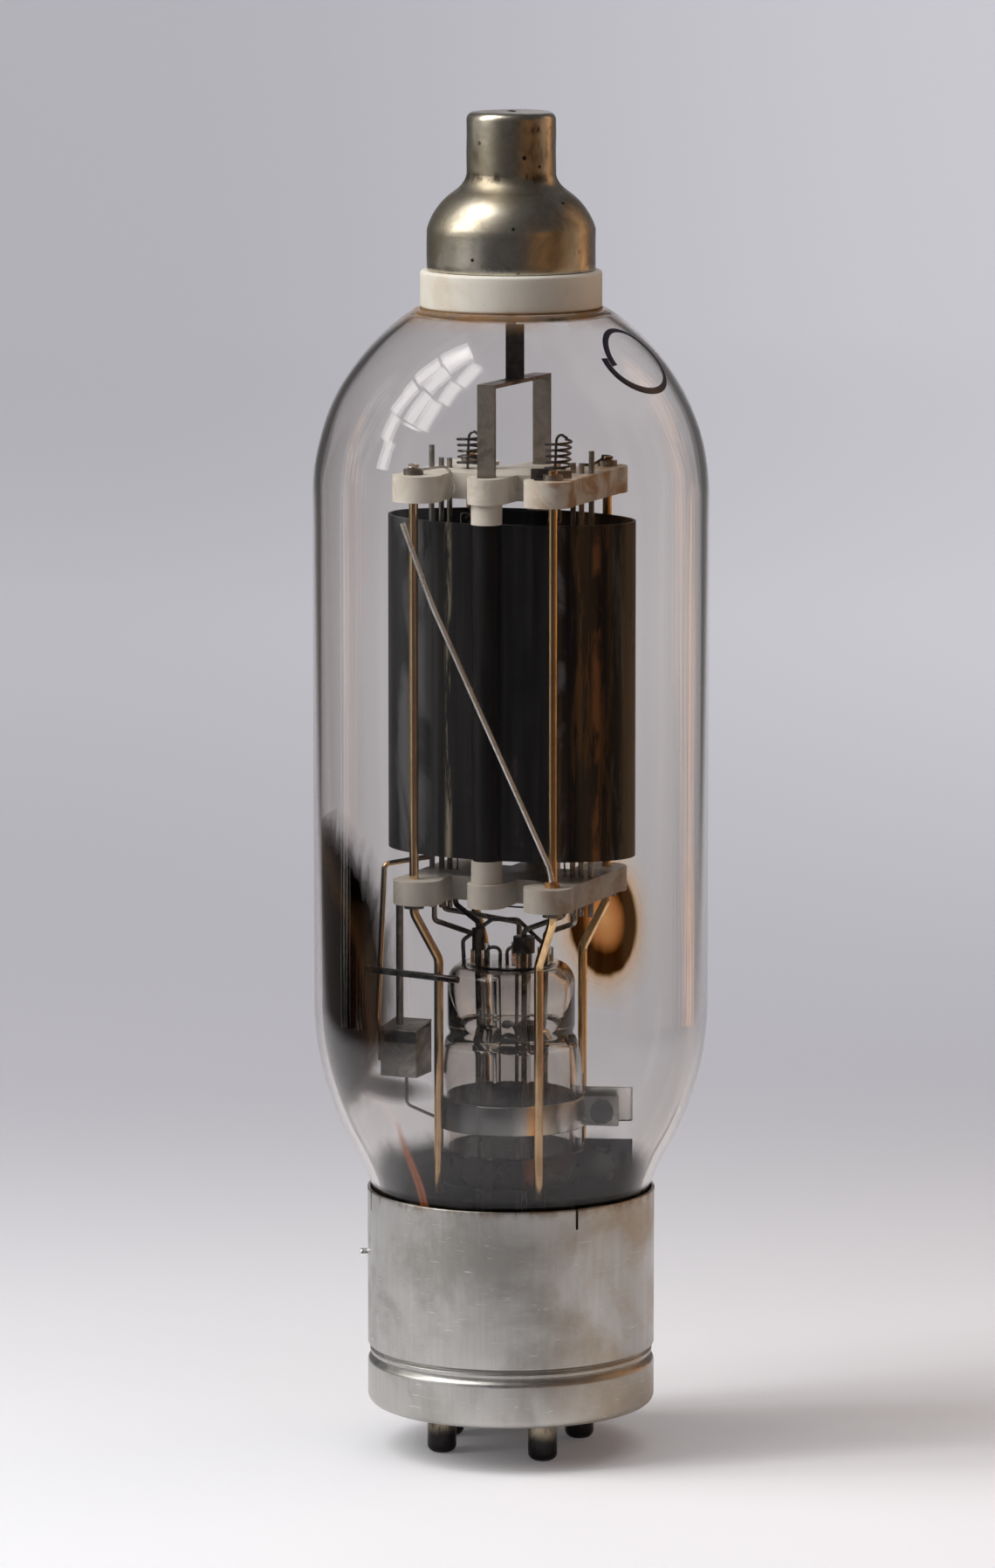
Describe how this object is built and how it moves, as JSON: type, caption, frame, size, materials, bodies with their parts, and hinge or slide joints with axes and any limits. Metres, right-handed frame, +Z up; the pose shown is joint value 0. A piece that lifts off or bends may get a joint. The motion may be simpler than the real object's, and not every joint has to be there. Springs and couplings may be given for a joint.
{
  "type": "transmitting vacuum tube",
  "caption": "Glass transmitting pentode with a domed bulb, a black oval anode held between ceramic spiders, a metal bayonet base with pins, and a skirted top cap.",
  "frame": {"origin": "on the tube axis, at the tips of the base pins", "axes": "+Z up along the tube axis to the top cap, -Y towards the front of the tube, +X to the right"},
  "size_m": [0.064, 0.064, 0.2185],
  "materials": {
    "base_nickel": "satin nickel plate, brushed",
    "pin_metal": "nickel-plated brass, tarnished dark",
    "nickel_wire": "bright nickel wire",
    "nickel_rod": "polished nickel rod, warm",
    "nickel_strip": "nickel strip",
    "dark_strip": "blackened nickel",
    "dark_wire": "oxidised nickel wire",
    "base_ceramic": "moulded brown-black phenolic",
    "dark_cement": "black-brown basing cement",
    "brown_cement": "brown basing cement",
    "bulb_glass": "clear blown glass",
    "stem_glass": "clear pressed glass",
    "bead_glass": "seal glass",
    "cap_metal": "worn nickel over brass",
    "cap_ceramic": "unglazed cream ceramic",
    "spider_ceramic": "off-white ceramic",
    "anode_sheet": "carbonised black nickel",
    "grid_wire": "molybdenum wire",
    "filament_wire": "thoriated tungsten wire",
    "spring_wire": "tungsten spring wire",
    "getter_sheet": "matt nickel sheet",
    "copper_collar": "coppery weld collar",
    "clamp_steel": "satin grey nickel band",
    "screw_steel": "dark steel"
  },
  "bodies": {
    "tube": {"base_shell": "base_nickel", "bayonet_pin": "nickel_wire", "base_insulator": "base_ceramic", "base_cement": "dark_cement", "glass_bulb": "bulb_glass", "stem_glass": "stem_glass", "exhaust_tube": "stem_glass", "seal_beads": "bead_glass", "cap_thimble": "cap_metal", "cap_skirt": "cap_metal", "cap_ceramic_ring": "cap_ceramic", "cap_cement": "brown_cement", "anode_seal_rod": "nickel_wire", "anode_lead_strap": "dark_strip", "anode_bracket": "nickel_strip", "top_ceramic": "spider_ceramic", "bottom_ceramic": "spider_ceramic", "rod_collars": "nickel_strip", "support_rod_front_left": "nickel_rod", "support_rod_front_right": "nickel_rod", "support_rod_back_left": "nickel_rod", "support_rod_back_right": "nickel_rod", "anode_left_half": "anode_sheet", "anode_right_half": "anode_sheet", "anode_seam_tubes": "anode_sheet", "top_bushings": "spider_ceramic", "bottom_bushings": "spider_ceramic", "control_grid": "grid_wire", "screen_grid": "grid_wire", "suppressor_grid": "grid_wire", "filament_left": "filament_wire", "filament_right": "filament_wire", "filament_link": "filament_wire", "filament_spring_left": "spring_wire", "filament_spring_right": "spring_wire", "filament_lead_right": "dark_wire", "filament_lead_left": "dark_wire", "suppressor_lead": "nickel_wire", "screen_lead": "nickel_wire", "control_lead": "nickel_wire", "lead_sleeves": "dark_strip", "getter_box": "getter_sheet", "getter_wire_outer": "nickel_wire", "getter_wire_inner": "nickel_wire", "getter_foot_wire": "nickel_wire", "getter_crossbar": "dark_wire", "stay_rod": "nickel_wire", "stay_collar": "copper_collar", "stem_clamps": "clamp_steel", "clamp_screws": "screw_steel", "clamp_nuts": "screw_steel", "base_pin_1": "pin_metal", "base_pin_2": "pin_metal", "base_pin_3": "pin_metal", "base_pin_4": "pin_metal", "base_pin_5": "pin_metal"},
    "filament_hook_left_body": {"filament_hook_left": "nickel_wire"},
    "filament_hook_right_body": {"filament_hook_right": "nickel_wire"}
  },
  "joints": [
    {"name": "filament_tension_left", "type": "slide", "parent": "tube", "child": "filament_hook_left_body", "axis": [0, 0, 1], "range_m": [0, 0.001], "stiffness_N_per_m": 400, "deforming": ["filament_spring_left", "filament_left"]},
    {"name": "filament_tension_right", "type": "slide", "parent": "tube", "child": "filament_hook_right_body", "axis": [0, 0, 1], "range_m": [0, 0.001], "stiffness_N_per_m": 400, "deforming": ["filament_spring_right", "filament_right"]}
  ]
}
